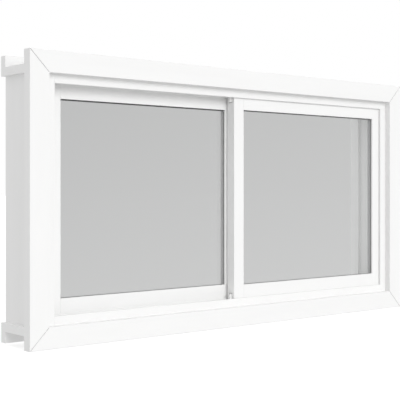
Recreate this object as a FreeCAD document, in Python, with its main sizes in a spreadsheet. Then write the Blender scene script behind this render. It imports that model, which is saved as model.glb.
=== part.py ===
"""Horizontal sliding window: a white extruded frame with a mitred brickmould and two glazed sashes.

The front sash (right) stands in the outer track, the rear sash (left) in the inner track, and a
third track on the room side is empty. The frame's origin is the middle of the moulding's back
face below the sill channel. X runs along the window, Y points into the room, Z points up.
"""

import FreeCAD, Part
import os

import Sketcher

# Driving sizes in millimetres
DIMENSIONS = {
    "overall_width": 974.0,
    "overall_height": 508.0,
    "moulding_face": 38.0,
    "moulding_depth": 19.5,
    "moulding_round": 1.2,
    "edge_round": 0.6,
    "moulding_rebate": 1.5,
    "rebate_play": 0.5,
    "weld_groove": 0.9,
    "channel_depth": 24.5,
    "web_depth": 15.0,
    "jamb_setback": 9.0,
    "frame_depth": 79.4,
    "fin_width": 15.0,
    "fin_setback": 4.5,
    "lip_inset": 13.0,
    "lip_thick": 3.5,
    "jamb_lip": 18.0,
    "head_lip": 16.0,
    "jamb_floor": 46.0,
    "head_floor": 41.0,
    "room_track": 12.3,
    "room_lip_rise": 7.0,
    "divider_thick": 1.4,
    "room_divider_thick": 2.0,
    "runner_width": 3.0,
    "runner_height": 3.0,
    "lip_play": 1.0,
    "track_play": 0.6,
    "sash_depth": 20.5,
    "sash_overlap": 8.0,
    "top_rail_width": 31.4,
    "bottom_rail_width": 34.0,
    "front_stile_width": 30.6,
    "front_meeting_width": 26.0,
    "rear_stile_width": 37.0,
    "rear_meeting_width": 29.75,
    "meeting_reach": 13.25,
    "glass_cover": 12.0,
    "leg_thick": 4.0,
    "pane_thick": 3.0,
    "air_gap": 7.0,
    "glass_edge_play": 2.0,
    "spacer_width": 7.0,
    "bead_slope": 3.0,
    "bead_setback": 0.5,
    "glide_length": 30.0,
    "glide_width": 12.0,
    "glide_inset": 40.0,
    "glide_skirt": 2.0,
    "runner_play": 0.2,
    "guide_length": 16.5,
    "guide_front": 7.0,
    "guide_width": 2.4,
    "guide_seat": 6.0,
    "guide_proud": 2.4,
    "guide_gap": 1.5,
    "guide_room": 5.5,
    "pile_width": 5.0,
    "pile_inset": 0.3,
    "pile_play": 0.3,
    "latch_length": 62.0,
    "latch_width": 18.0,
    "latch_thick": 5.0,
    "latch_corner": 8.5,
    "latch_edge": 1.2,
    "lever_length": 34.0,
    "lever_thick": 4.0,
    "lever_radius": 7.5,
    "lever_root": 6.0,
    "lever_tip": 4.0,
    "thumb_length": 5.0,
    "thumb_rise": 4.0,
    "cut_over": 2.0,
}


class Length:
    """A length that keeps the sheet formula which gives it, beside its number."""

    def __init__(self, formula, number):
        self.formula = formula
        self.number = number

    def __add__(self, other):
        other = as_length(other)
        return Length(f"({self.formula} + {other.formula})", self.number + other.number)

    def __sub__(self, other):
        other = as_length(other)
        return Length(f"({self.formula} - {other.formula})", self.number - other.number)

    def __mul__(self, factor):
        return Length(f"({self.formula} * {factor})", self.number * factor)

    def __truediv__(self, divisor):
        return Length(f"({self.formula} / {divisor})", self.number / divisor)

    def __neg__(self):
        return Length(f"(0 - {self.formula})", -self.number)

    __radd__ = __add__
    __rmul__ = __mul__


def as_length(value):
    """Give a bare number the same form as a sheet length."""
    if isinstance(value, Length):
        return value
    return Length(str(value), float(value))


class Sizes:
    """Every driving size as an attribute, each tied to its cell in the sheet."""

    def __init__(self, sheet, dimensions):
        for row, (alias, number) in enumerate(dimensions.items(), start=1):
            sheet.set(f"A{row}", alias)
            sheet.set(f"B{row}", str(number))
            sheet.setAlias(f"B{row}", alias)
            setattr(self, alias, Length(f"Sizes.{alias}", number))


doc = FreeCAD.newDocument("sliding_window")
sheet = doc.addObject("Spreadsheet::Sheet", "Sizes")
size = Sizes(sheet, DIMENSIONS)
doc.recompute()

nodes = []


# Places that several pieces share
bottom = -size.channel_depth / 2
top = bottom + size.overall_height
middle = bottom + size.overall_height / 2
half_width = size.overall_width / 2

tongue_edge = size.channel_depth + size.rebate_play
web_inner = size.channel_depth + size.web_depth
jamb_lip_edge = size.moulding_face + size.jamb_lip
head_lip_edge = size.moulding_face + size.head_lip
jamb_room_edge = jamb_lip_edge + size.room_lip_rise
head_room_edge = head_lip_edge + size.room_lip_rise
jamb_height = size.overall_height - web_inner * 2

lip_front = size.lip_inset - size.moulding_depth
lip_back = lip_front + size.lip_thick
front_sash_face = lip_back + size.lip_play
front_sash_back = front_sash_face + size.sash_depth
divider_front = front_sash_back + size.track_play
divider_back = divider_front + size.divider_thick
rear_sash_face = divider_back + size.track_play
rear_sash_back = rear_sash_face + size.sash_depth
room_divider_front = rear_sash_back + size.track_play
room_divider_back = room_divider_front + size.room_divider_thick
fin_front = size.frame_depth - size.fin_width
room_lip_front = room_divider_back + size.room_track

sash_side = jamb_lip_edge - size.sash_overlap
sash_end = head_lip_edge - size.sash_overlap
sash_height = size.overall_height - sash_end * 2
sash_width = half_width + size.meeting_reach - sash_side
sight_height = sash_height - size.top_rail_width - size.bottom_rail_width
seat_height = sight_height + size.glass_cover * 2
glass_height = seat_height - size.glass_edge_play * 2
bead_front = size.leg_thick + size.pane_thick * 2 + size.air_gap


def new_body(label):
    """Add an empty body for one piece."""
    body = doc.addObject("PartDesign::Body", label)
    body.Label = label
    nodes.append(body)
    return body


def origin_plane(body, role):
    """Find one of the body's own origin planes."""
    return next(item for item in body.Origin.OriginFeatures if item.Role == role)


def new_sketch(body, name, role):
    """Add an empty sketch on one of the body's planes."""
    sketch = body.newObject("Sketcher::SketchObject", name)
    sketch.AttachmentSupport = [(origin_plane(body, role), "")]
    sketch.MapMode = "FlatFace"
    return sketch


def outline(body, name, role, *loops):
    """Sketch closed polygons whose corners are tied to the sheet, on one of the body's planes."""
    sketch = new_sketch(body, name, role)
    for loop in loops:
        first = sketch.GeometryCount
        corners = [(as_length(across), as_length(along)) for across, along in loop]
        count = len(corners)
        for index in range(count):
            start = corners[index]
            end = corners[(index + 1) % count]
            line = Part.LineSegment(
                FreeCAD.Vector(start[0].number, start[1].number, 0),
                FreeCAD.Vector(end[0].number, end[1].number, 0),
            )
            sketch.addGeometry(line, False)
        for index in range(count):
            following = first + (index + 1) % count
            sketch.addConstraint(Sketcher.Constraint("Coincident", first + index, 2, following, 1))
        for index, corner in enumerate(corners):
            for kind, value in zip(("DistanceX", "DistanceY"), corner):
                constraint = Sketcher.Constraint(kind, -1, 1, first + index, 1, value.number)
                number = sketch.addConstraint(constraint)
                sketch.setExpression(f"Constraints[{number}]", value.formula)
    return sketch


def disc(body, name, role, radius):
    """Sketch a circle about the body's origin, its radius tied to the sheet."""
    sketch = new_sketch(body, name, role)
    up = FreeCAD.Vector(0, 0, 1)
    sketch.addGeometry(Part.Circle(FreeCAD.Vector(0, 0, 0), up, radius.number), False)
    sketch.addConstraint(Sketcher.Constraint("Coincident", 0, 3, -1, 1))
    number = sketch.addConstraint(Sketcher.Constraint("Radius", 0, radius.number))
    sketch.setExpression(f"Constraints[{number}]", radius.formula)
    return sketch


def rectangle(low_across, high_across, low_along, high_along):
    """Corners of a rectangle, for an outline."""
    return [
        (low_across, low_along),
        (high_across, low_along),
        (high_across, high_along),
        (low_across, high_along),
    ]


def pad(body, sketch, length, symmetric=True, reverse=False):
    """Raise a sketch into a solid, equally to both sides unless told otherwise."""
    feature = body.newObject("PartDesign::Pad", sketch.Name + "_pad")
    feature.Profile = sketch
    feature.setExpression("Length", length.formula)
    feature.SideType = "Symmetric" if symmetric else "One side"
    feature.Reversed = reverse
    sketch.Visibility = False
    return feature


def pocket_through(body, sketch):
    """Cut a sketch right through the body, to both sides."""
    feature = body.newObject("PartDesign::Pocket", sketch.Name + "_pocket")
    feature.Profile = sketch
    feature.Type = "ThroughAll"
    feature.SideType = "Symmetric"
    return feature


def edge_names(shape, test):
    """Names of the edges whose two ends and middle all pass a test."""
    names = []
    for number, edge in enumerate(shape.Edges, start=1):
        middle_point = edge.valueAt((edge.FirstParameter + edge.LastParameter) / 2)
        points = [vertex.Point for vertex in edge.Vertexes] + [middle_point]
        if all(test(point) for point in points):
            names.append(f"Edge{number}")
    return names


def dress_edges(body, kind, name, base, test, amount):
    """Fillet or chamfer the edges of a feature that pass a test."""
    doc.recompute()
    feature = body.newObject(f"PartDesign::{kind}", name)
    feature.Base = (base, edge_names(base.Shape, test))
    feature.setExpression("Radius" if kind == "Fillet" else "Size", amount.formula)
    return feature


def close(value, length):
    """Tell whether a coordinate lies on a sheet length."""
    return abs(value - length.number) < 1e-4


def round_long_edges(body, name, base, corners, radius):
    """Round the edges that run along a member through corners of its section."""
    corners = [(as_length(deep), as_length(high)) for deep, high in corners]

    def on_corner(point):
        return any(close(point.y, deep) and close(point.z, high) for deep, high in corners)

    return dress_edges(body, "Fillet", name, base, on_corner, radius)


def place(piece, across=0, deep=0, up=0, turn=0):
    """Turn a piece about Y and set its place from the sheet."""
    piece.Placement = FreeCAD.Placement(
        FreeCAD.Vector(0, 0, 0), FreeCAD.Rotation(FreeCAD.Vector(0, 1, 0), turn)
    )
    for axis, value in zip("xyz", (across, deep, up)):
        piece.setExpression(f"Placement.Base.{axis}", as_length(value).formula)


def place_member(piece, side, left, right, low, high, deep=0):
    """Lay a member along one side of a rectangle, its outer edge on that side."""
    centre_across = (left + right) / 2
    centre_up = (low + high) / 2
    if side == "bottom":
        place(piece, centre_across, deep, low, 0)
    elif side == "left":
        place(piece, left, deep, centre_up, 90)
    elif side == "top":
        place(piece, centre_across, deep, high, 180)
    else:
        place(piece, right, deep, centre_up, 270)


def cut_mitres(body, name, length, height):
    """Cut both ends of a member at 45 degrees, so that its outer edge keeps the full length."""
    over = size.cut_over
    reach = length / 2
    right_end = [
        (reach + over, -over),
        (reach + over, height + over),
        (reach - height - over, height + over),
    ]
    left_end = [(-across, along) for across, along in right_end]
    return pocket_through(body, outline(body, name, "XZ_Plane", right_end, left_end))


# Brickmould
def build_moulding(label, side, length):
    """One mitred side of the brickmould, rebated at the back where the frame seats in it."""
    body = new_body(label)
    front = -size.moulding_depth
    profile = [
        (0, 0),
        (0, size.channel_depth),
        (-size.moulding_rebate, size.channel_depth),
        (-size.moulding_rebate, size.moulding_face),
        (front, size.moulding_face),
        (front, 0),
    ]
    pad(body, outline(body, label + "_profile", "YZ_Plane", profile), length)
    mitred = cut_mitres(body, label + "_mitres", length, size.moulding_face)
    reach = length / 2
    grooved = dress_edges(
        body, "Chamfer", label + "_weld_groove", mitred,
        lambda point: close(point.y, front) and abs(abs(point.x) + point.z - reach.number) < 1e-4,
        size.weld_groove,
    )
    rounded = round_long_edges(body, label + "_round", grooved, [(front, 0)], size.moulding_round)
    round_long_edges(
        body, label + "_inner_round", rounded, [(front, size.moulding_face)], size.edge_round
    )
    place_member(body, side, -half_width, half_width, bottom, top)


# Head and sill of the frame
def build_head_or_sill(label, side, with_runners):
    """A through member: web and wall fin over the full width, lips and tracks between the jambs."""
    body = new_body(label)
    wall_section = [
        (0, size.channel_depth),
        (fin_front, size.channel_depth),
        (fin_front, size.fin_setback),
        (size.frame_depth, size.fin_setback),
        (size.frame_depth, web_inner),
        (0, web_inner),
    ]
    tongue = rectangle(-size.moulding_rebate, fin_front, tongue_edge, web_inner)
    floor = size.head_floor
    tracks = [
        (lip_front, size.moulding_face),
        (lip_front, head_lip_edge),
        (lip_back, head_lip_edge),
        (lip_back, floor),
    ]
    if with_runners:
        tracks += runner_corners((front_sash_face + front_sash_back) / 2, floor)
    tracks += [
        (divider_front, floor),
        (divider_front, head_lip_edge),
        (divider_back, head_lip_edge),
        (divider_back, floor),
    ]
    if with_runners:
        tracks += runner_corners((rear_sash_face + rear_sash_back) / 2, floor)
    tracks += [
        (room_divider_front, floor),
        (room_divider_front, head_lip_edge),
        (room_divider_back, head_lip_edge),
        (room_divider_back, floor),
        (room_lip_front, floor),
        (room_lip_front, size.moulding_face),
    ]
    room_lip = rectangle(room_lip_front, size.frame_depth, size.moulding_face, head_room_edge)
    width = size.overall_width
    pad(body, outline(body, label + "_wall", "YZ_Plane", wall_section), width)
    pad(body, outline(body, label + "_tongue", "YZ_Plane", tongue), width - tongue_edge * 2)
    pad(body, outline(body, label + "_tracks", "YZ_Plane", tracks), width - jamb_lip_edge * 2)
    lipped = pad(body, outline(body, label + "_lip", "YZ_Plane", room_lip), width - jamb_room_edge * 2)
    corners = [
        (fin_front, size.fin_setback),
        (size.frame_depth, size.fin_setback),
        (lip_front, head_lip_edge),
        (lip_back, head_lip_edge),
        (divider_front, head_lip_edge),
        (divider_back, head_lip_edge),
        (room_divider_front, head_lip_edge),
        (room_divider_back, head_lip_edge),
        (room_lip_front, head_room_edge),
        (size.frame_depth, head_room_edge),
    ]
    round_long_edges(body, label + "_rounds", lipped, corners, size.edge_round)
    place_member(body, side, -half_width, half_width, bottom, top)


def runner_corners(centre, floor):
    """Corners of the raised rib that a sash runs on."""
    half = size.runner_width / 2
    crest = floor + size.runner_height
    return [(centre - half, floor), (centre - half, crest), (centre + half, crest), (centre + half, floor)]


# Jambs
def build_jamb(label, side, pocket_front, pocket_back):
    """An upright between head and sill, with a lip outside and a pocket for the sash it takes.

    Its side is set back from the ends of head and sill, and the wall between the lips is plain
    where no sash enters it.
    """
    body = new_body(label)
    section = [
        (0, size.jamb_setback),
        (0, tongue_edge),
        (-size.moulding_rebate, tongue_edge),
        (-size.moulding_rebate, size.moulding_face),
        (lip_back, size.moulding_face),
        (lip_back, jamb_lip_edge),
        (room_lip_front, jamb_lip_edge),
        (room_lip_front, jamb_room_edge),
        (size.frame_depth, jamb_room_edge),
        (size.frame_depth, size.jamb_setback),
    ]
    lip = rectangle(lip_front, lip_back, size.moulding_face, jamb_lip_edge)
    over = size.cut_over
    pocket = rectangle(pocket_front, pocket_back, size.jamb_floor, jamb_lip_edge + over)
    pad(body, outline(body, label + "_section", "YZ_Plane", section), jamb_height)
    opening_height = size.overall_height - size.moulding_face * 2
    lipped = pad(body, outline(body, label + "_lip", "YZ_Plane", lip), opening_height)
    corners = [
        (lip_front, jamb_lip_edge),
        (room_lip_front, jamb_room_edge),
        (size.frame_depth, jamb_room_edge),
    ]
    round_long_edges(body, label + "_rounds", lipped, corners, size.edge_round)
    pocket_through(body, outline(body, label + "_pocket", "YZ_Plane", pocket))
    place_member(body, side, -half_width, half_width, bottom, top)


class Sash:
    """One glazed sash: its place in the frame, and the pieces that make it."""

    def __init__(self, name, face, meets_on_left, stile_width, meeting_width):
        self.name = name
        self.face = face
        self.stile_width = stile_width
        self.meeting_width = meeting_width
        if meets_on_left:
            self.left = -size.meeting_reach
            self.meeting_side = "left"
            self.jamb_side = "right"
            sight_left = self.left + meeting_width
        else:
            self.left = sash_side - half_width
            self.meeting_side = "right"
            self.jamb_side = "left"
            sight_left = self.left + stile_width
        self.right = self.left + sash_width
        self.low = bottom + sash_end
        self.high = self.low + sash_height
        self.sight_width = sash_width - stile_width - meeting_width
        self.seat_width = self.sight_width + size.glass_cover * 2
        self.glass_width = self.seat_width - size.glass_edge_play * 2
        self.sight_low = self.low + size.bottom_rail_width
        self.centre = sight_left + self.sight_width / 2
        self.sight_middle = self.sight_low + sight_height / 2

    def place_on(self, piece, side, deep=0):
        """Lay a member on one side of the sash's outer rectangle."""
        place_member(piece, side, self.left, self.right, self.low, self.high, self.face + deep)

    def build_stile(self, label, side, width):
        """A stile over the sash's full height, with its front leg over the glass edge."""
        body = new_body(f"{self.name}_{label}")
        seat = width - size.glass_cover
        section = [
            (0, 0),
            (0, width),
            (size.leg_thick, width),
            (size.leg_thick, seat),
            (size.sash_depth, seat),
            (size.sash_depth, 0),
        ]
        stile = pad(body, outline(body, body.Name + "_section", "YZ_Plane", section), sash_height)
        corners = [(0, 0), (0, width), (size.sash_depth, 0), (size.sash_depth, seat)]
        round_long_edges(body, body.Name + "_rounds", stile, corners, size.edge_round)
        self.place_on(body, side)
        return body

    def build_rail(self, label, side, width):
        """A rail between the stiles: its body reaches behind their front legs."""
        body = new_body(f"{self.name}_{label}")
        seat = width - size.glass_cover
        leg = rectangle(0, size.leg_thick, 0, width)
        block = rectangle(size.leg_thick, size.sash_depth, 0, seat)
        pad(body, outline(body, body.Name + "_leg", "YZ_Plane", leg), self.sight_width)
        rail = pad(body, outline(body, body.Name + "_block", "YZ_Plane", block), self.seat_width)
        corners = [(0, width), (size.sash_depth, seat)]
        round_long_edges(body, body.Name + "_rounds", rail, corners, size.edge_round)
        edge = self.high if side == "top" else self.low
        place(body, self.centre, self.face, edge, 180 if side == "top" else 0)

    def build_pane(self, label, deep):
        """One sheet of glass."""
        pane = doc.addObject("Part::Box", f"{self.name}_{label}")
        pane.Label = pane.Name
        nodes.append(pane)
        pane.setExpression("Length", self.glass_width.formula)
        pane.setExpression("Width", size.pane_thick.formula)
        pane.setExpression("Height", glass_height.formula)
        edge = self.sight_low - size.glass_cover + size.glass_edge_play
        place(pane, self.centre - self.glass_width / 2, self.face + deep, edge)

    def build_spacer(self):
        """The bar between the two sheets, round the edge of the view."""
        body = new_body(f"{self.name}_spacer")
        half_across = self.sight_width / 2
        half_up = sight_height / 2
        wide = size.spacer_width
        outer = rectangle(-half_across - wide, half_across + wide, -half_up - wide, half_up + wide)
        inner = rectangle(-half_across, half_across, -half_up, half_up)
        sketch = outline(body, body.Name + "_ring", "XZ_Plane", outer, inner)
        pad(body, sketch, size.air_gap)
        deep = self.face + size.leg_thick + size.pane_thick + size.air_gap / 2
        place(body, self.centre, deep, self.sight_middle)

    def build_bead(self, label, side, length):
        """One mitred glazing bead, sloped towards the glass on the room side."""
        body = new_body(f"{self.name}_{label}")
        reach = size.glass_cover - size.bead_setback
        back = size.sash_depth
        section = [
            (bead_front, 0),
            (bead_front, reach),
            (back, reach - size.bead_slope),
            (back, 0),
        ]
        pad(body, outline(body, body.Name + "_section", "YZ_Plane", section), length)
        cut_mitres(body, body.Name + "_mitres", length, reach)
        half_across = self.seat_width / 2
        half_up = seat_height / 2
        place_member(
            body, side, self.centre - half_across, self.centre + half_across,
            self.sight_middle - half_up, self.sight_middle + half_up, self.face,
        )

    def build_glide(self, label, centre):
        """A foot under the bottom rail that straddles the runner."""
        body = new_body(f"{self.name}_{label}")
        half = size.glide_width / 2
        groove = size.runner_width / 2 + size.runner_play
        crest = size.head_floor + size.runner_height
        sole = crest - size.glide_skirt
        section = [
            (-half, sole),
            (-groove, sole),
            (-groove, crest),
            (groove, crest),
            (groove, sole),
            (half, sole),
            (half, sash_end),
            (-half, sash_end),
        ]
        pad(body, outline(body, body.Name + "_section", "YZ_Plane", section), size.glide_length)
        place(body, centre, self.face + size.sash_depth / 2, bottom)

    def build_pile(self, label, deep, across):
        """The brush strip on the meeting stile that closes the gap between the sashes."""
        pile = doc.addObject("Part::Box", f"{self.name}_{label}")
        pile.Label = pile.Name
        nodes.append(pile)
        thick = rear_sash_face - front_sash_back - size.pile_play
        pile.setExpression("Length", size.pile_width.formula)
        pile.setExpression("Width", thick.formula)
        pile.setExpression("Height", sight_height.formula)
        place(pile, across, deep, self.sight_low)

    def build(self):
        """Make every piece of the sash."""
        meeting = self.build_stile("meeting_stile", self.meeting_side, self.meeting_width)
        self.build_stile("jamb_stile", self.jamb_side, self.stile_width)
        self.build_rail("top_rail", "top", size.top_rail_width)
        self.build_rail("bottom_rail", "bottom", size.bottom_rail_width)
        self.build_pane("outer_pane", size.leg_thick)
        self.build_pane("inner_pane", size.leg_thick + size.pane_thick + size.air_gap)
        self.build_spacer()
        self.build_bead("bead_top", "top", self.seat_width)
        self.build_bead("bead_bottom", "bottom", self.seat_width)
        self.build_bead("bead_left", "left", seat_height)
        self.build_bead("bead_right", "right", seat_height)
        self.build_glide("glide_left", self.left + size.glide_inset)
        self.build_glide("glide_right", self.right - size.glide_inset)
        return meeting


# Guides at the ends of the front meeting stile
def cut_guide_seats(stile):
    """Sink a seat for a guide into each end of the stile's side, with room behind the guide."""
    front = size.guide_front - size.guide_gap
    back = size.guide_front + size.guide_width + size.guide_room
    reach = sash_height / 2
    inner = reach - size.guide_length - size.guide_gap
    seats = [
        rectangle(low, high, front, back) for low, high in ((inner, reach), (-reach, -inner))
    ]
    sketch = outline(stile, stile.Name + "_guide_seats", "XY_Plane", *seats)
    feature = stile.newObject("PartDesign::Pocket", stile.Name + "_guide_pocket")
    feature.Profile = sketch
    feature.Reversed = True
    feature.setExpression("Length", size.guide_seat.formula)


def build_guide(label, sash, end):
    """A narrow nylon guide in its seat, its proud nose sloped towards the front as a lead-in."""
    body = new_body(label)
    section = [
        (0, 0),
        (0, size.guide_width),
        (-size.guide_seat - size.guide_proud, size.guide_width),
        (-size.guide_seat, 0),
    ]
    pad(body, outline(body, label + "_section", "XY_Plane", section), size.guide_length)
    inward = size.guide_length / 2
    height = sash.high - inward if end == "top" else sash.low + inward
    place(body, sash.left + size.guide_seat, sash.face + size.guide_front, height)


# Latch on the room side of the rear meeting stile
def build_latch(sash):
    """A cam latch: a rounded base, and a lever with a raised thumb rest, turned up to lock."""
    centre = sash.right - sash.meeting_width / 2
    back = sash.face + size.sash_depth
    height = sash.low + sash_height / 2
    base = new_body("latch_base")
    half_across = size.latch_width / 2
    half_up = size.latch_length / 2
    thick = size.latch_thick
    plate = outline(
        base, "latch_plate", "XZ_Plane", rectangle(-half_across, half_across, -half_up, half_up)
    )
    block = pad(base, plate, thick, symmetric=False, reverse=True)
    ended = dress_edges(
        base, "Fillet", "latch_ends", block,
        lambda point: close(abs(point.x), half_across) and close(abs(point.z), half_up),
        size.latch_corner,
    )
    dress_edges(base, "Fillet", "latch_rim", ended, lambda point: close(point.y, thick), size.latch_edge)
    place(base, centre, back, height)

    lever = new_body("latch_lever")
    reach = size.lever_length
    thick = size.lever_thick
    arm = [
        (-size.lever_root, 0),
        (-size.lever_tip, reach),
        (size.lever_tip, reach),
        (size.lever_root, 0),
    ]
    thumb = rectangle(-size.lever_tip, size.lever_tip, reach - size.thumb_length, reach)
    hub = disc(lever, "lever_hub", "XZ_Plane", size.lever_radius)
    pad(lever, hub, thick, symmetric=False, reverse=True)
    pad(lever, outline(lever, "lever_arm", "XZ_Plane", arm), thick, symmetric=False, reverse=True)
    raised = pad(
        lever, outline(lever, "lever_thumb", "XZ_Plane", thumb), thick + size.thumb_rise,
        symmetric=False, reverse=True,
    )
    crest = thick + size.thumb_rise
    dress_edges(
        lever, "Fillet", "lever_thumb_rounds", raised,
        lambda point: close(point.y, crest), size.latch_edge,
    )
    place(lever, centre, back + size.latch_thick, height)


def build_window():
    """Make every piece of the window."""
    build_moulding("brickmould_sill", "bottom", size.overall_width)
    build_moulding("brickmould_head", "top", size.overall_width)
    build_moulding("brickmould_left", "left", size.overall_height)
    build_moulding("brickmould_right", "right", size.overall_height)
    build_head_or_sill("frame_head", "top", with_runners=False)
    build_head_or_sill("frame_sill", "bottom", with_runners=True)
    build_jamb("frame_jamb_left", "left", divider_back, room_divider_front)
    build_jamb("frame_jamb_right", "right", lip_back, divider_front)
    front = Sash(
        "front_sash", front_sash_face, True, size.front_stile_width, size.front_meeting_width
    )
    rear = Sash(
        "rear_sash", rear_sash_face, False, size.rear_stile_width, size.rear_meeting_width
    )
    front_stile = front.build()
    rear.build()
    cut_guide_seats(front_stile)
    build_guide("guide_top", front, "top")
    build_guide("guide_bottom", front, "bottom")
    front.build_pile("pile", front_sash_back, front.left + size.pile_inset)
    rear_pile_across = rear.right - size.pile_inset - size.pile_width
    rear.build_pile("pile", front_sash_back + size.pile_play, rear_pile_across)
    build_latch(rear)


def write_parts():
    """Check every object and write each piece to its own file."""
    doc.recompute()
    broken = [item.Name for item in doc.Objects if {"Invalid", "Error"} & set(item.State)]
    for piece in nodes:
        if piece.Shape.isNull() or not piece.Shape.isValid() or not piece.Shape.Solids:
            broken.append(piece.Name)
    if broken:
        raise RuntimeError("These objects failed: " + ", ".join(sorted(set(broken))))
    os.makedirs("parts", exist_ok=True)
    for piece in nodes:
        piece.Shape.exportStep(f"parts/{piece.Label}.step")


build_window()
write_parts()
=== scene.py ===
"""Looks and studio for a white horizontal sliding window.

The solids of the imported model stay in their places. This script gives every piece its finish, puts
finer pieces in place of the pile strips and the guides, adds the small things that a solid model
leaves out, and sets a plain studio and the camera.
"""

import logging
import math
import random
from dataclasses import dataclass, field
from enum import Enum
from typing import Iterable, Sequence

import bmesh
import bpy
from mathutils import Matrix, Vector

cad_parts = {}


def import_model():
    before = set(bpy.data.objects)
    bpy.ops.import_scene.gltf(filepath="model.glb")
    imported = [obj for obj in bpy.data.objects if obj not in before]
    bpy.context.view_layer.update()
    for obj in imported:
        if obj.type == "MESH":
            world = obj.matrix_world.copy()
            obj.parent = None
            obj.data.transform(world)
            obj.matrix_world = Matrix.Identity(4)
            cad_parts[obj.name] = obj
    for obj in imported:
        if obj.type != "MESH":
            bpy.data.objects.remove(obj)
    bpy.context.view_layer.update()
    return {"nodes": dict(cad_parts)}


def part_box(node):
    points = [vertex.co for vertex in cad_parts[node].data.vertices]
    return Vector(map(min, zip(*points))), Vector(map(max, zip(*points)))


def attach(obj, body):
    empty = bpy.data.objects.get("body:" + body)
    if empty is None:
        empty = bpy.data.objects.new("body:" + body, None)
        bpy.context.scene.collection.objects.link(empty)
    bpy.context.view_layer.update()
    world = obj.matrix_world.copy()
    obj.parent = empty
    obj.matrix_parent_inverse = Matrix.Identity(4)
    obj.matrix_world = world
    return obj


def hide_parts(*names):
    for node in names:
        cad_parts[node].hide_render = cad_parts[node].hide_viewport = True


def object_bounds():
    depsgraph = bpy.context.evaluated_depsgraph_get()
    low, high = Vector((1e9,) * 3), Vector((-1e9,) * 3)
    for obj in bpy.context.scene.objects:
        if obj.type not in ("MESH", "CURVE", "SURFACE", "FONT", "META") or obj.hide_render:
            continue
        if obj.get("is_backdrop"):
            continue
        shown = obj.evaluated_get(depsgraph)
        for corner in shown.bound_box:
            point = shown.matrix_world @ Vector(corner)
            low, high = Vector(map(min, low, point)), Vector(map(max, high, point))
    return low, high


LOG = logging.getLogger("sliding_window")
BODY = "root"
MM = 0.001
THUMB_RISE = 4.0 * MM
WELD_DISTANCE = 0.001 * MM
LIGHT_DISTANCE = 4.0


class Run(Enum):
    """The way along which a profile was drawn from its die."""

    WIDTH = "width"
    HEIGHT = "height"


class Way(Enum):
    """Which way a strip of pile points from the sash that carries it."""

    ROOM = 1
    OUTSIDE = -1


@dataclass(frozen=True)
class SoftLight:
    """A wide even light from one side, like a large soft box far away."""

    name: str
    strength: float
    spread_degrees: float
    comes_from: tuple[float, float, float]

    def build(self) -> None:
        """Make the lamp, which shows in no reflection and through no pane."""
        lamp = bpy.data.lights.new(self.name, "SUN")
        lamp.angle = math.radians(self.spread_degrees)
        lamp.energy = self.strength
        light = bpy.data.objects.new(self.name, lamp)
        bpy.context.scene.collection.objects.link(light)
        light.location = Vector(self.comes_from) * LIGHT_DISTANCE
        light.rotation_euler = (-Vector(self.comes_from)).to_track_quat("-Z", "Y").to_euler()
        light.visible_glossy = False
        light.visible_transmission = False


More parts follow.
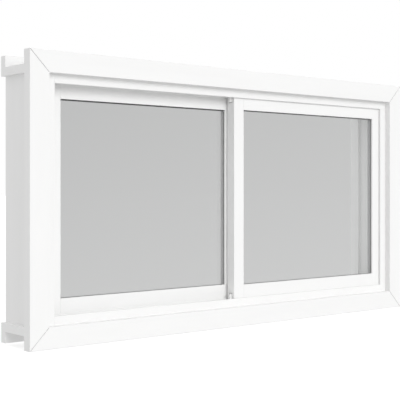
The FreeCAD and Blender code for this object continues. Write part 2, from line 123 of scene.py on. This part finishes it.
class NodeGraph:
    """A material's node tree, with short calls to add and join nodes."""

    def __init__(self, name: str) -> None:
        """Start an empty material.

        Args:
            name: the material's name.
        """
        self.material = bpy.data.materials.new(name)
        self.material.use_nodes = True
        self.tree = self.material.node_tree
        self.tree.nodes.clear()

    def add(self, kind: str, **values: object) -> bpy.types.Node:
        """Add a node and set its properties and sockets.

        Args:
            kind: the node's class, without its ShaderNode prefix.
            **values: a property of the node, or a socket written with underscores for spaces.

        Returns:
            The new node.
        """
        node = self.tree.nodes.new("ShaderNode" + kind)
        for key, value in values.items():
            socket = node.inputs.get(key.replace("_", " "))
            if socket is not None:
                socket.default_value = value
            else:
                setattr(node, key, value)
        return node

    def join(self, source: bpy.types.NodeSocket, target: bpy.types.NodeSocket) -> None:
        """Link one socket to another."""
        self.tree.links.new(source, target)

    def place(self, scale: Sequence[float]) -> bpy.types.NodeSocket:
        """Give Object coordinates stretched by a scale.

        Args:
            scale: the factor along X, Y and Z.

        Returns:
            The vector socket to read.
        """
        spot = self.add("TexCoord")
        mapping = self.add("Mapping", Scale=tuple(scale))
        self.join(spot.outputs["Object"], mapping.inputs["Vector"])
        return mapping.outputs["Vector"]

    def noise(self, scale: Sequence[float], detail: float = 3.0) -> bpy.types.NodeSocket:
        """Give a noise pattern whose cells are one over the scale in metres.

        Args:
            scale: cells per metre along X, Y and Z.
            detail: how many finer layers are added.

        Returns:
            The pattern's value socket.
        """
        pattern = self.add("TexNoise", Scale=1.0, Detail=detail, Roughness=0.55)
        self.join(self.place(scale), pattern.inputs["Vector"])
        return pattern.outputs["Fac"]

    def span(self, value: bpy.types.NodeSocket, low: float, high: float,
             start: float = 0.3, end: float = 0.7) -> bpy.types.NodeSocket:
        """Map a pattern's value onto a range.

        Args:
            value: the socket to read.
            low: the result at start.
            high: the result at end.
            start: the value that gives low.
            end: the value that gives high.

        Returns:
            The mapped value's socket.
        """
        ramp = self.add("MapRange")
        ramp.inputs["From Min"].default_value = start
        ramp.inputs["From Max"].default_value = end
        ramp.inputs["To Min"].default_value = low
        ramp.inputs["To Max"].default_value = high
        self.join(value, ramp.inputs["Value"])
        return ramp.outputs["Result"]

    def blend(self, factor: bpy.types.NodeSocket, first: Sequence[float],
              second: Sequence[float]) -> bpy.types.NodeSocket:
        """Mix two colours by a pattern.

        Args:
            factor: the socket that mixes them.
            first: the colour at 0.
            second: the colour at 1.

        Returns:
            The mixed colour's socket.
        """
        mix = self.add("Mix", data_type="RGBA")
        colours = [socket for socket in mix.inputs if socket.type == "RGBA"]
        colours[0].default_value = (*first, 1.0)
        colours[1].default_value = (*second, 1.0)
        self.join(factor, mix.inputs["Factor"])
        return next(socket for socket in mix.outputs if socket.type == "RGBA")

    def bump(self, height: bpy.types.NodeSocket, strength: float, distance: float,
             under: bpy.types.NodeSocket | None = None) -> bpy.types.NodeSocket:
        """Turn a height into a bumped normal.

        Args:
            height: the socket that gives the height.
            strength: how much of the bump shows.
            distance: the height in metres of a value of one.
            under: a normal that this bump lies on.

        Returns:
            The normal's socket.
        """
        bump = self.add("Bump", Strength=strength, Distance=distance)
        self.join(height, bump.inputs["Height"])
        if under is not None:
            self.join(under, bump.inputs["Normal"])
        return bump.outputs["Normal"]

    def finish(self, shader: bpy.types.NodeSocket) -> bpy.types.Material:
        """Join a shader to the output.

        Args:
            shader: the socket of the finished surface.

        Returns:
            The material.
        """
        output = self.add("OutputMaterial")
        self.join(shader, output.inputs["Surface"])
        return self.material


@dataclass(frozen=True)
class VinylFinish:
    """Extruded white vinyl: faint die lines along its length, a slow change of tone and sheen."""

    name: str
    run: Run
    colour: tuple[float, float, float] = (0.91, 0.91, 0.906)
    deeper: tuple[float, float, float] = (0.892, 0.892, 0.888)
    roughness: tuple[float, float] = (0.30, 0.42)
    line_cells: tuple[float, float] = (3.0, 900.0)
    tone_cells: tuple[float, float] = (6.0, 40.0)
    skin_cells: float = 260.0
    line_bump: tuple[float, float] = (0.10, 0.06 * MM)
    skin_bump: tuple[float, float] = (0.08, 0.05 * MM)

    def stretched(self, cells: tuple[float, float]) -> tuple[float, float, float]:
        """Turn a pattern's scale so that it runs with the profile.

        Args:
            cells: cells per metre along the profile and across it.

        Returns:
            The scale along X, Y and Z.
        """
        along, across = cells
        if self.run is Run.WIDTH:
            return along, across, across
        return across, across, along

    def build(self) -> bpy.types.Material:
        """Make the material.

        Returns:
            The finished material.
        """
        graph = NodeGraph(self.name)
        tone = graph.noise(self.stretched(self.tone_cells))
        lines = graph.noise(self.stretched(self.line_cells), detail=2.0)
        skin = graph.noise((self.skin_cells,) * 3)
        shader = graph.add("BsdfPrincipled", IOR=1.5, Coat_Weight=0.0)
        colour = graph.blend(graph.span(tone, 0.0, 1.0), self.colour, self.deeper)
        graph.join(colour, shader.inputs["Base Color"])
        graph.join(graph.span(lines, *self.roughness), shader.inputs["Roughness"])
        normal = graph.bump(lines, *self.line_bump)
        normal = graph.bump(skin, *self.skin_bump, under=normal)
        graph.join(normal, shader.inputs["Normal"])
        return graph.finish(shader.outputs["BSDF"])


@dataclass(frozen=True)
class GlassFinish:
    """Clear float glass with a faint cast and a trace of dust."""

    name: str
    tint: tuple[float, float, float] = (0.985, 0.988, 0.987)
    shade: tuple[float, float, float] = (0.99, 0.992, 0.992)
    dust_cells: float = 28.0
    dust_roughness: float = 0.012

    def build(self) -> bpy.types.Material:
        """Make the material, which lets light through to what stands behind it.

        Returns:
            The finished material.
        """
        graph = NodeGraph(self.name)
        shader = graph.add("BsdfPrincipled", Transmission_Weight=1.0, IOR=1.45)
        shader.inputs["Base Color"].default_value = (*self.tint, 1.0)
        dust = graph.noise((self.dust_cells,) * 3, detail=6.0)
        graph.join(graph.span(dust, 0.0, self.dust_roughness), shader.inputs["Roughness"])
        clear = graph.add("BsdfTransparent", Color=(*self.shade, 1.0))
        ray = graph.add("LightPath")
        lighting = graph.add("Math", operation="MAXIMUM")
        graph.join(ray.outputs["Is Shadow Ray"], lighting.inputs[0])
        graph.join(ray.outputs["Is Diffuse Ray"], lighting.inputs[1])
        mix = graph.add("MixShader")
        graph.join(lighting.outputs["Value"], mix.inputs["Fac"])
        graph.join(shader.outputs["BSDF"], mix.inputs[1])
        graph.join(clear.outputs["BSDF"], mix.inputs[2])
        return graph.finish(mix.outputs["Shader"])


@dataclass(frozen=True)
class MetalFinish:
    """Mill-finish aluminium with a fine rolled grain."""

    name: str
    colour: tuple[float, float, float] = (0.66, 0.66, 0.665)
    darker: tuple[float, float, float] = (0.55, 0.55, 0.555)
    grain_cells: tuple[float, float, float] = (60.0, 1400.0, 60.0)
    grain_bump: tuple[float, float] = (0.15, 0.05 * MM)
    roughness: tuple[float, float] = (0.38, 0.55)

    def build(self) -> bpy.types.Material:
        """Make the material.

        Returns:
            The finished material.
        """
        graph = NodeGraph(self.name)
        grain = graph.noise(self.grain_cells, detail=4.0)
        shader = graph.add("BsdfPrincipled", Metallic=0.3)
        colour = graph.blend(graph.span(grain, 0.0, 1.0), self.colour, self.darker)
        graph.join(colour, shader.inputs["Base Color"])
        graph.join(graph.span(grain, *self.roughness), shader.inputs["Roughness"])
        graph.join(graph.bump(grain, *self.grain_bump), shader.inputs["Normal"])
        return graph.finish(shader.outputs["BSDF"])


@dataclass(frozen=True)
class MouldedFinish:
    """A moulded, coated or plated finish with a fine even texture."""

    name: str
    colour: tuple[float, float, float]
    shade: tuple[float, float, float]
    cells: float = 900.0
    tone_cells: float = 35.0
    texture_bump: tuple[float, float] = (0.25, 0.08 * MM)
    roughness: tuple[float, float] = (0.45, 0.6)
    metallic: float = 0.0

    def build(self) -> bpy.types.Material:
        """Make the material.

        Returns:
            The finished material.
        """
        graph = NodeGraph(self.name)
        texture = graph.noise((self.cells,) * 3)
        tone = graph.noise((self.tone_cells,) * 3)
        shader = graph.add("BsdfPrincipled", Metallic=self.metallic)
        colour = graph.blend(graph.span(tone, 0.0, 1.0), self.colour, self.shade)
        graph.join(colour, shader.inputs["Base Color"])
        graph.join(graph.span(texture, *self.roughness), shader.inputs["Roughness"])
        graph.join(graph.bump(texture, *self.texture_bump), shader.inputs["Normal"])
        return graph.finish(shader.outputs["BSDF"])


@dataclass(frozen=True)
class PileFinish:
    """Woven pile yarn, pale grey, with lighter and darker strands."""

    name: str
    colour: tuple[float, float, float] = (0.80, 0.80, 0.80)
    shade: tuple[float, float, float] = (0.66, 0.66, 0.67)
    strand_cells: float = 1500.0
    strand_bump: tuple[float, float] = (0.4, 0.2 * MM)

    def build(self) -> bpy.types.Material:
        """Make the material.

        Returns:
            The finished material.
        """
        graph = NodeGraph(self.name)
        strands = graph.noise((self.strand_cells,) * 3, detail=2.0)
        shader = graph.add("BsdfPrincipled", Roughness=0.95, Sheen_Weight=0.3)
        colour = graph.blend(graph.span(strands, 0.0, 1.0), self.colour, self.shade)
        graph.join(colour, shader.inputs["Base Color"])
        graph.join(graph.bump(strands, *self.strand_bump), shader.inputs["Normal"])
        return graph.finish(shader.outputs["BSDF"])


@dataclass
class Finishes:
    """Every finish of the window, made once and shared."""

    made: dict[str, bpy.types.Material] = field(default_factory=dict)

    def build(self) -> None:
        """Make all the materials."""
        white_nylon = (0.93, 0.93, 0.925)
        for finish in (
            VinylFinish("vinyl_along_width", Run.WIDTH),
            VinylFinish("vinyl_along_height", Run.HEIGHT),
            GlassFinish("pane_glass"),
            MetalFinish("spacer_metal"),
            MouldedFinish("white_nylon", white_nylon, (0.91, 0.91, 0.90)),
            MouldedFinish("white_coat", (0.86, 0.86, 0.85), (0.84, 0.84, 0.83), cells=500.0,
                          roughness=(0.3, 0.42)),
            # The sealant's finish also paints the shade round the edges of the panes' cavity.
            MouldedFinish("black_sealant_and_painted_shade", (0.035, 0.035, 0.037), (0.05, 0.05, 0.052)),
            # A grey that paints the shade in the brickmould's mitre grooves.
            MouldedFinish("joint_painted_shade", (0.36, 0.36, 0.36), (0.30, 0.30, 0.30)),
            MouldedFinish("bright_screw", (0.62, 0.62, 0.63), (0.55, 0.55, 0.56), cells=1500.0,
                          roughness=(0.25, 0.38), metallic=0.9),
            PileFinish("grey_pile"),
        ):
            self.made[finish.name] = finish.build()

    def of(self, name: str) -> bpy.types.Material:
        """Give one material by its name."""
        return self.made[name]


def mesh_piece(name: str, shape: bmesh.types.BMesh, material: bpy.types.Material) -> bpy.types.Object:
    """Turn a bmesh into a piece that rides with the window.

    Args:
        name: the piece's name.
        shape: the finished shape, in place; it is freed.
        material: the piece's finish.

    Returns:
        The new object.
    """
    bmesh.ops.recalc_face_normals(shape, faces=shape.faces)
    mesh = bpy.data.meshes.new(name)
    shape.to_mesh(mesh)
    shape.free()
    piece = bpy.data.objects.new(name, mesh)
    bpy.context.scene.collection.objects.link(piece)
    piece.data.materials.append(material)
    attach(piece, BODY)
    LOG.info("%s: %d faces", name, len(mesh.polygons))
    return piece


def add_box(shape: bmesh.types.BMesh, middle: Vector, size: Sequence[float],
            turn: Matrix | None = None) -> list[bmesh.types.BMVert]:
    """Add a box to a shape.

    Args:
        shape: the bmesh to add to.
        middle: the middle of the box.
        size: its width, depth and height before it is turned.
        turn: a turn about its middle.

    Returns:
        The corners of the box.
    """
    place = Matrix.Translation(middle) @ (turn or Matrix()) @ Matrix.Diagonal((*size, 1.0))
    return bmesh.ops.create_cube(shape, size=1.0, matrix=place)["verts"]


def soften_edges(shape: bmesh.types.BMesh, edges: Iterable[bmesh.types.BMEdge], offset: float,
                 segments: int = 2) -> None:
    """Round edges a little.

    Args:
        shape: the bmesh that holds the edges.
        edges: the edges to round.
        offset: how far the rounding reaches.
        segments: how many facets it has.
    """
    bmesh.ops.bevel(shape, geom=list(edges), offset=offset, affect="EDGES", segments=segments,
                    profile=0.5, material=-1, clamp_overlap=True)


@dataclass(frozen=True)
class SealedUnit:
    """The dark primary seal that shows as a thin line round a sealed pair of panes.

    It lies past the spacer on the outer pane's inner face. The ring is partly the seal and partly
    painted shade: its bands are widened to paint the shade round the cavity's edges, most of all the
    shade under the top spacer, where the band is tallest.
    """

    sash: str
    left_stile: str
    right_stile: str
    # The top band is the tallest because it paints the shade under the top spacer.
    top: float = 1.7 * MM
    bottom: float = 0.6 * MM
    sides: float = 0.45 * MM
    thick: float = 0.9 * MM
    clear: float = 0.03 * MM
    soften: float = 0.12 * MM

    def build(self, material: bpy.types.Material) -> bpy.types.Object:
        """Make the seal round the sash's sight opening, with the shade painted along its bands.

        Args:
            material: the finish of the sealant and its painted shade.

        Returns:
            The new piece.
        """
        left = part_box(f"{self.sash}_{self.left_stile}")[1][0]
        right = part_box(f"{self.sash}_{self.right_stile}")[0][0]
        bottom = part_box(f"{self.sash}_bottom_rail")[1][2]
        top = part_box(f"{self.sash}_top_rail")[0][2]
        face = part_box(f"{self.sash}_outer_pane")[1][1] + self.clear
        shape = bmesh.new()
        outer = self.add_loop(shape, left, right, bottom, top, face)
        inner = self.add_loop(shape, left + self.sides, right - self.sides,
                              bottom + self.bottom, top - self.top, face)
        ring = bmesh.ops.bridge_loops(shape, edges=outer + inner)["faces"]
        grown = bmesh.ops.extrude_face_region(shape, geom=ring, use_keep_orig=True)["geom"]
        moved = [item for item in grown if isinstance(item, bmesh.types.BMVert)]
        bmesh.ops.translate(shape, verts=moved, vec=(0.0, self.thick, 0.0))
        bmesh.ops.recalc_face_normals(shape, faces=shape.faces)
        soften_edges(shape, shape.edges, self.soften)
        # The piece is the seal together with the painted shade along its bands.
        return mesh_piece(f"{self.sash}_seal", shape, material)

    @staticmethod
    def add_loop(shape: bmesh.types.BMesh, left: float, right: float, bottom: float,
                 top: float, depth: float) -> list[bmesh.types.BMEdge]:
        """Add an upright rectangle of four edges.

        Args:
            shape: the bmesh to add to.
            left: the lowest X.
            right: the highest X.
            bottom: the lowest Z.
            top: the highest Z.
            depth: the Y of the rectangle.

        Returns:
            The four edges.
        """
        corners = [shape.verts.new((x, depth, z)) for x, z in
                   ((left, bottom), (right, bottom), (right, top), (left, top))]
        return [shape.edges.new((corners[i - 1], corners[i])) for i in range(len(corners))]


@dataclass(frozen=True)
class PileBrush:
    """A weather strip: a woven backing with rows of upright tufts.

    The stagger is where the tufts of an even and of an odd row stand within a pitch, and the
    reach is the least and the greatest share of the full height that a tuft comes up to.
    """

    node: str
    way: Way
    seed: int
    backing: float = 0.7 * MM
    rows: int = 4
    pitch: float = 1.15 * MM
    root_radius: float = 0.42 * MM
    tip_radius: float = 0.62 * MM
    lean_degrees: float = 9.0
    stagger: tuple[float, float] = (0.25, 0.75)
    reach: tuple[float, float] = (0.90, 0.98)
    sides: int = 5
    soften: float = 0.15 * MM

    def build(self, material: bpy.types.Material) -> bpy.types.Object:
        """Make the brush in the space of its plain bar.

        Args:
            material: the pile's finish.

        Returns:
            The new piece.
        """
        low, high = (Vector(corner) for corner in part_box(self.node))
        root = low.y if self.way is Way.ROOM else high.y
        tip = high.y if self.way is Way.ROOM else low.y
        shape = bmesh.new()
        self.add_backing(shape, low, high, root)
        chance = random.Random(self.seed)
        tuft = abs(tip - root) - self.backing
        count = int((high.z - low.z) / self.pitch)
        step = (high.x - low.x) / self.rows
        for row in range(self.rows):
            across = low.x + (row + 0.5) * step
            for number in range(count):
                height = low.z + (number + self.stagger[row % 2]) * (high.z - low.z) / count
                foot = Vector((across, root + self.way.value * self.backing / 2, height))
                self.add_tuft(shape, foot, tuft + self.backing / 2, chance)
        brush = mesh_piece(f"{self.node}_brush", shape, material)
        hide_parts(self.node)
        return brush

    def add_backing(self, shape: bmesh.types.BMesh, low: Vector, high: Vector,
                    root: float) -> None:
        """Add the flat woven strip that the tufts stand on.

        Args:
            shape: the bmesh to add to.
            low: the bar's lowest corner.
            high: the bar's highest corner.
            root: the Y of the sash's face that carries the strip.
        """
        middle = (low + high) / 2
        middle.y = root + self.way.value * self.backing / 2
        corners = add_box(shape, middle, (high.x - low.x, self.backing, high.z - low.z))
        edges = {edge for corner in corners for edge in corner.link_edges}
        soften_edges(shape, edges, self.soften)

    def add_tuft(self, shape: bmesh.types.BMesh, foot: Vector, length: float,
                 chance: random.Random) -> None:
        """Add one tuft that leans a little and spreads towards its tip.

        Args:
            shape: the bmesh to add to.
            foot: the middle of its foot.
            length: how far it stands out.
            chance: the source of its lean and turn.
        """
        lean = math.radians(self.lean_degrees)
        upright = Matrix.Rotation(-self.way.value * math.pi / 2, 4, "X")
        tilt = (Matrix.Rotation(chance.uniform(-lean, lean), 4, "X")
                @ Matrix.Rotation(chance.uniform(-lean, lean), 4, "Y")
                @ Matrix.Rotation(chance.uniform(0.0, math.pi), 4, "Z"))
        reach = length * chance.uniform(*self.reach)
        place = Matrix.Translation(foot) @ upright @ tilt @ Matrix.Translation((0, 0, reach / 2))
        bmesh.ops.create_cone(shape, cap_ends=True, cap_tris=False, segments=self.sides,
                              radius1=self.root_radius, radius2=self.tip_radius, depth=reach,
                              matrix=place)


@dataclass(frozen=True)
class GuideBlock:
    """A nylon block that keeps the front sash in line, proud of the meeting stile's side.

    It stands out further than the plain guide that it replaces, and its front is flat.
    """

    node: str
    further: float = 2.9 * MM
    forward: float = 0.4 * MM
    soften: float = 0.3 * MM
    segments: int = 3

    def build(self, material: bpy.types.Material) -> bpy.types.Object:
        """Make the block in its seat, with a flat front that stands out past the stile.

        Args:
            material: the nylon's finish.

        Returns:
            The new piece.
        """
        low, high = (Vector(corner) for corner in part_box(self.node))
        low -= Vector((self.further, self.forward, 0.0))
        shape = bmesh.new()
        add_box(shape, (low + high) / 2, high - low)
        soften_edges(shape, shape.edges, self.soften, self.segments)
        block = mesh_piece(f"{self.node}_block", shape, material)
        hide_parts(self.node)
        return block


@dataclass(frozen=True)
class MitreJointShade:
    """Painted shade in the hairline joints where the four sides of the brickmould meet: a grey strip
    sunk in each joint's groove stands for the shade in it.
    """

    wide: float = 0.55 * MM
    thick: float = 0.5 * MM
    sunk: float = 0.5 * MM
    short_outside: float = 1.6 * MM
    short_inside: float = 0.9 * MM
    soften: float = 0.1 * MM

    def build(self, material: bpy.types.Material) -> bpy.types.Object:
        """Make the four strips of painted joint shade as one piece.

        Args:
            material: the finish of the painted joint shade.

        Returns:
            The new piece.
        """
        (left, front, bottom), (inner_edge, _, _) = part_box("brickmould_left")
        right, _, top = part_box("brickmould_right")[1]
        diagonal = (inner_edge - left) * math.sqrt(2.0)
        length = diagonal - self.short_outside - self.short_inside
        reach = (self.short_outside + length / 2) / math.sqrt(2.0)
        depth = front + self.sunk + self.thick / 2
        shape = bmesh.new()
        for x, inward in ((left, 1), (right, -1)):
            for z, upward in ((bottom, 1), (top, -1)):
                middle = Vector((x + inward * reach, depth, z + upward * reach))
                turn = Matrix.Rotation(-inward * upward * math.pi / 4, 4, "Y")
                add_box(shape, middle, (length, self.thick, self.wide), turn)
        soften_edges(shape, shape.edges, self.soften)
        return mesh_piece("brickmould_joint_shade", shape, material)


@dataclass(frozen=True)
class LatchFittings:
    """The latch's small fastenings: the rivet that the lever turns on and the screw below it."""

    screw_drop: float = 22.5 * MM
    screw_radius: float = 3.1 * MM
    screw_rise: float = 1.1 * MM
    screw_taper: float = 0.7
    rim: float = 0.35 * MM
    recess_half: float = 0.42 * MM
    recess_reach: float = 1.75 * MM
    recess_depth: float = 0.7 * MM
    rivet_radius: float = 2.6 * MM
    rivet_rise: float = 1.3 * MM
    rim_segments: int = 3
    dome_steps: int = 6
    sides: int = 32

    def build(self, screw: bpy.types.Material, coat: bpy.types.Material) -> None:
        """Make the screw and the rivet on the latch.

        Args:
            screw: the screw's finish.
            coat: the rivet's finish.
        """
        base_low, base_high = (Vector(corner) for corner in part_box("latch_base"))
        lever_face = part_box("latch_lever")[1][1]
        across = (base_low.x + base_high.x) / 2
        hub = (base_low.z + base_high.z) / 2
        self.add_screw(Vector((across, base_high.y, hub - self.screw_drop)), screw)
        self.add_rivet(Vector((across, self.hub_face(lever_face), hub)), coat)

    def hub_face(self, lever_face: float) -> float:
        """Give the Y of the lever's face at its hub, under the raised thumb piece."""
        return lever_face - THUMB_RISE

    def add_screw(self, seat: Vector, material: bpy.types.Material) -> None:
        """Make a pan head with a cross recess.

        Args:
            seat: the middle of the face that it sits on.
            material: its finish.
        """
        shape = bmesh.new()
        bmesh.ops.create_cone(shape, cap_ends=True, segments=self.sides,
                              radius1=self.screw_radius,
                              radius2=self.screw_radius * self.screw_taper,
                              depth=self.screw_rise,
                              matrix=Matrix.Translation((0, 0, self.screw_rise / 2)))
        rim = [edge for edge in shape.edges
               if all(vertex.co.z > self.screw_rise / 2 for vertex in edge.verts)]
        soften_edges(shape, rim, self.rim, self.rim_segments)
        for axis in ((1, 0, 0), (0, 1, 0)):
            for cut in (-self.recess_reach, -self.recess_half, self.recess_half,
                        self.recess_reach):
                geom = list(shape.verts) + list(shape.edges) + list(shape.faces)
                bmesh.ops.bisect_plane(shape, geom=geom, plane_co=Vector(axis) * cut,
                                       plane_no=axis)
        cross = [face for face in shape.faces if self.in_cross(face)]
        sunk = bmesh.ops.extrude_face_region(shape, geom=cross)["geom"]
        moved = [item for item in sunk if isinstance(item, bmesh.types.BMVert)]
        bmesh.ops.translate(shape, verts=moved, vec=(0, 0, -self.recess_depth))
        bmesh.ops.transform(shape, matrix=self.facing_room(seat), verts=shape.verts)
        mesh_piece("latch_screw", shape, material)

    def in_cross(self, face: bmesh.types.BMFace) -> bool:
        """Tell whether a face of the screw's head lies in the cross recess.

        Args:
            face: the face to look at.

        Returns:
            True where it is on top of the head and within the cross.
        """
        middle = face.calc_center_median()
        narrow, wide = sorted((abs(middle.x), abs(middle.y)))
        tolerance = self.rim / 4
        on_top = middle.z > self.screw_rise - tolerance
        return on_top and narrow < self.recess_half and wide < self.recess_reach

    def add_rivet(self, seat: Vector, material: bpy.types.Material) -> None:
        """Make a low dome by spinning its section.

        Args:
            seat: the middle of the face that it sits on.
            material: its finish.
        """
        shape = bmesh.new()
        turns = [math.pi / 2 * step / self.dome_steps for step in range(self.dome_steps + 1)]
        section = [shape.verts.new((self.rivet_radius * math.cos(turn), 0.0,
                                    self.rivet_rise * math.sin(turn))) for turn in turns]
        section.insert(0, shape.verts.new((0.0, 0.0, 0.0)))
        edges = [shape.edges.new(pair) for pair in zip(section, section[1:])]
        bmesh.ops.spin(shape, geom=section + edges, cent=(0, 0, 0), axis=(0, 0, 1),
                       dvec=(0, 0, 0), angle=math.tau, steps=self.sides, use_merge=True)
        bmesh.ops.remove_doubles(shape, verts=shape.verts, dist=WELD_DISTANCE)
        bmesh.ops.transform(shape, matrix=self.facing_room(seat), verts=shape.verts)
        rivet = mesh_piece("latch_rivet", shape, material)
        rivet.data.shade_smooth()

    @staticmethod
    def facing_room(seat: Vector) -> Matrix:
        """Give the transform that stands a shape on a face that looks into the room."""
        return Matrix.Translation(seat) @ Matrix.Rotation(-math.pi / 2, 4, "X")


@dataclass
class CadDressing:
    """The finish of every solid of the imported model."""

    finishes: Finishes

    def dress(self, nodes: dict[str, bpy.types.Object]) -> None:
        """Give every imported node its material.

        Args:
            nodes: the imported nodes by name.
        """
        for name, node in nodes.items():
            material = self.finishes.of(self.finish_name(name))
            if not node.material_slots:
                node.data.materials.append(material)
            for slot in node.material_slots:
                slot.material = material
            LOG.info("%s: %s", name, material.name)

    @staticmethod
    def finish_name(name: str) -> str:
        """Choose a finish by what a node is.

        Args:
            name: the node's name.

        Returns:
            The name of its finish.
        """
        upright = ("left", "right", "stile", "jamb")
        if name.endswith("pane"):
            return "pane_glass"
        if name.endswith("spacer"):
            return "spacer_metal"
        if "glide" in name or name.startswith("guide"):
            return "white_nylon"
        if name.endswith("pile"):
            return "grey_pile"
        if name.startswith("latch"):
            return "white_coat"
        if any(word in name for word in upright):
            return "vinyl_along_height"
        return "vinyl_along_width"


@dataclass
class Studio:
    """A plain pale floor, a soft light on each side and a white surround.

    What shows through the panes has a grey level of its own, which drifts with the direction.
    """

    floor_gap: float = 0.35 * MM
    floor_size: float = 30.0
    surround: float = 0.69
    behind_glass: float = 0.495
    behind_glass_drift: tuple[float, float, float] = (0.12, 0.0, -0.3)
    key: SoftLight = SoftLight("key_light", 1.30, 34.0, (0.0, -0.91, 0.40))
    room: SoftLight = SoftLight("room_light", 0.45, 60.0, (-0.30, 0.80, 0.48))
    floor_glow: float = 0.45
    floor_colour: float = 0.80

    def build(self) -> None:
        """Make the floor, the lights and the world."""
        self.make_floor()
        self.key.build()
        self.room.build()
        self.make_surround()

    def make_floor(self) -> None:
        """Lay a floor that glows for the camera alone and throws no diffuse light on the window.

        The panes look past it to the surround.
        """
        shape = bmesh.new()
        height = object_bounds()[0][2] - self.floor_gap
        place = Matrix.Translation((0.0, 0.0, height))
        bmesh.ops.create_grid(shape, x_segments=1, y_segments=1, size=self.floor_size, matrix=place)
        mesh = bpy.data.meshes.new("studio_floor")
        shape.to_mesh(mesh)
        shape.free()
        floor = bpy.data.objects.new("studio_floor", mesh)
        bpy.context.scene.collection.objects.link(floor)
        graph = NodeGraph("studio_floor")
        base = graph.add("BsdfDiffuse", Color=(self.floor_colour,) * 3 + (1.0,))
        glow = graph.add("Emission", Color=(1.0, 1.0, 1.0, 1.0))
        ray = graph.add("LightPath")
        strength = graph.add("Math", operation="MULTIPLY")
        strength.inputs[1].default_value = self.floor_glow
        graph.join(ray.outputs["Is Camera Ray"], strength.inputs[0])
        graph.join(strength.outputs["Value"], glow.inputs["Strength"])
        both = graph.add("AddShader")
        graph.join(base.outputs["BSDF"], both.inputs[0])
        graph.join(glow.outputs["Emission"], both.inputs[1])
        clear = graph.add("BsdfTransparent")
        mix = graph.add("MixShader")
        passing = graph.add("Math", operation="MAXIMUM")
        graph.join(ray.outputs["Is Transmission Ray"], passing.inputs[0])
        graph.join(ray.outputs["Is Diffuse Ray"], passing.inputs[1])
        graph.join(passing.outputs["Value"], mix.inputs["Fac"])
        graph.join(both.outputs["Shader"], mix.inputs[1])
        graph.join(clear.outputs["BSDF"], mix.inputs[2])
        floor.data.materials.append(graph.finish(mix.outputs["Shader"]))
        floor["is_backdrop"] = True

    def make_surround(self) -> None:
        """Set the world light: even, white to the camera, a drifting grey through the panes."""
        world = bpy.data.worlds.new("studio_surround")
        bpy.context.scene.world = world
        world.use_nodes = True
        tree = world.node_tree
        tree.nodes.clear()
        ray = tree.nodes.new("ShaderNodeLightPath")
        spot = tree.nodes.new("ShaderNodeTexCoord")
        drift = tree.nodes.new("ShaderNodeVectorMath")
        drift.operation = "DOT_PRODUCT"
        drift.inputs[1].default_value = self.behind_glass_drift
        tree.links.new(spot.outputs["Generated"], drift.inputs[0])
        tone = tree.nodes.new("ShaderNodeMath")
        tone.operation = "ADD"
        tone.inputs[1].default_value = self.behind_glass
        tree.links.new(drift.outputs["Value"], tone.inputs[0])
        through = self.choose(tree, ray.outputs["Is Transmission Ray"], self.surround,
                              tone.outputs["Value"])
        level = self.choose(tree, ray.outputs["Is Camera Ray"], through, 1.0)
        light = tree.nodes.new("ShaderNodeBackground")
        light.inputs["Color"].default_value = (1.0, 1.0, 1.0, 1.0)
        tree.links.new(level, light.inputs["Strength"])
        output = tree.nodes.new("ShaderNodeOutputWorld")
        tree.links.new(light.outputs["Background"], output.inputs["Surface"])

    @staticmethod
    def choose(tree: bpy.types.NodeTree, switch: bpy.types.NodeSocket,
               off: bpy.types.NodeSocket | float,
               on: bpy.types.NodeSocket | float) -> bpy.types.NodeSocket:
        """Give one of two levels by a switch.

        Args:
            tree: the node tree to add to.
            switch: a socket that is 0 or 1.
            off: the level at 0.
            on: the level at 1.

        Returns:
            The chosen level's socket.
        """
        mix = tree.nodes.new("ShaderNodeMix")
        tree.links.new(switch, mix.inputs["Factor"])
        for name, value in (("A", off), ("B", on)):
            if isinstance(value, float):
                mix.inputs[name].default_value = value
            else:
                tree.links.new(value, mix.inputs[name])
        return mix.outputs["Result"]


@dataclass
class PhotoCamera:
    """The photograph's camera: level, forty degrees round to the left of square-on."""

    place: tuple[float, float, float] = (-1.3165, -1.4492, 0.2616)
    yaw_degrees: float = 40.0
    lens: float = 87.91
    sensor: float = 36.0
    shift_up: float = -0.02985
    near_limit: float = 0.01

    def build(self) -> None:
        """Make the camera and use it."""
        data = bpy.data.cameras.new("photo_camera")
        data.lens = self.lens
        data.sensor_width = self.sensor
        data.sensor_fit = "HORIZONTAL"
        data.shift_y = self.shift_up
        data.clip_start = self.near_limit
        camera = bpy.data.objects.new("photo_camera", data)
        bpy.context.scene.collection.objects.link(camera)
        camera.location = self.place
        camera.rotation_euler = (math.radians(90.0), 0.0, -math.radians(self.yaw_degrees))
        bpy.context.scene.camera = camera


def main() -> None:
    """Dress the window and build its studio."""
    logging.basicConfig(level=logging.INFO, format="%(name)s %(message)s")
    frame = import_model()
    finishes = Finishes()
    finishes.build()
    CadDressing(finishes).dress(frame["nodes"])
    # The seal rings are partly painted shade; the rear sash's taller top band paints the deeper shade
    # under its top spacer.
    for unit in (
        SealedUnit("front_sash", left_stile="meeting_stile", right_stile="jamb_stile"),
        SealedUnit("rear_sash", left_stile="jamb_stile", right_stile="meeting_stile",
                   top=2.1 * MM),
    ):
        unit.build(finishes.of("black_sealant_and_painted_shade"))
    for brush in (
        PileBrush("front_sash_pile", Way.ROOM, seed=3),
        PileBrush("rear_sash_pile", Way.OUTSIDE, seed=5),
    ):
        brush.build(finishes.of("grey_pile"))
    for node in ("guide_top", "guide_bottom"):
        GuideBlock(node).build(finishes.of("white_nylon"))
    # Grey strips that paint the shade in the brickmould's mitre grooves.
    MitreJointShade().build(finishes.of("joint_painted_shade"))
    LatchFittings().build(finishes.of("bright_screw"), finishes.of("white_coat"))
    Studio().build()
    PhotoCamera().build()
    bpy.context.scene.view_settings.view_transform = "Standard"


if __name__ == "__main__":
    main()
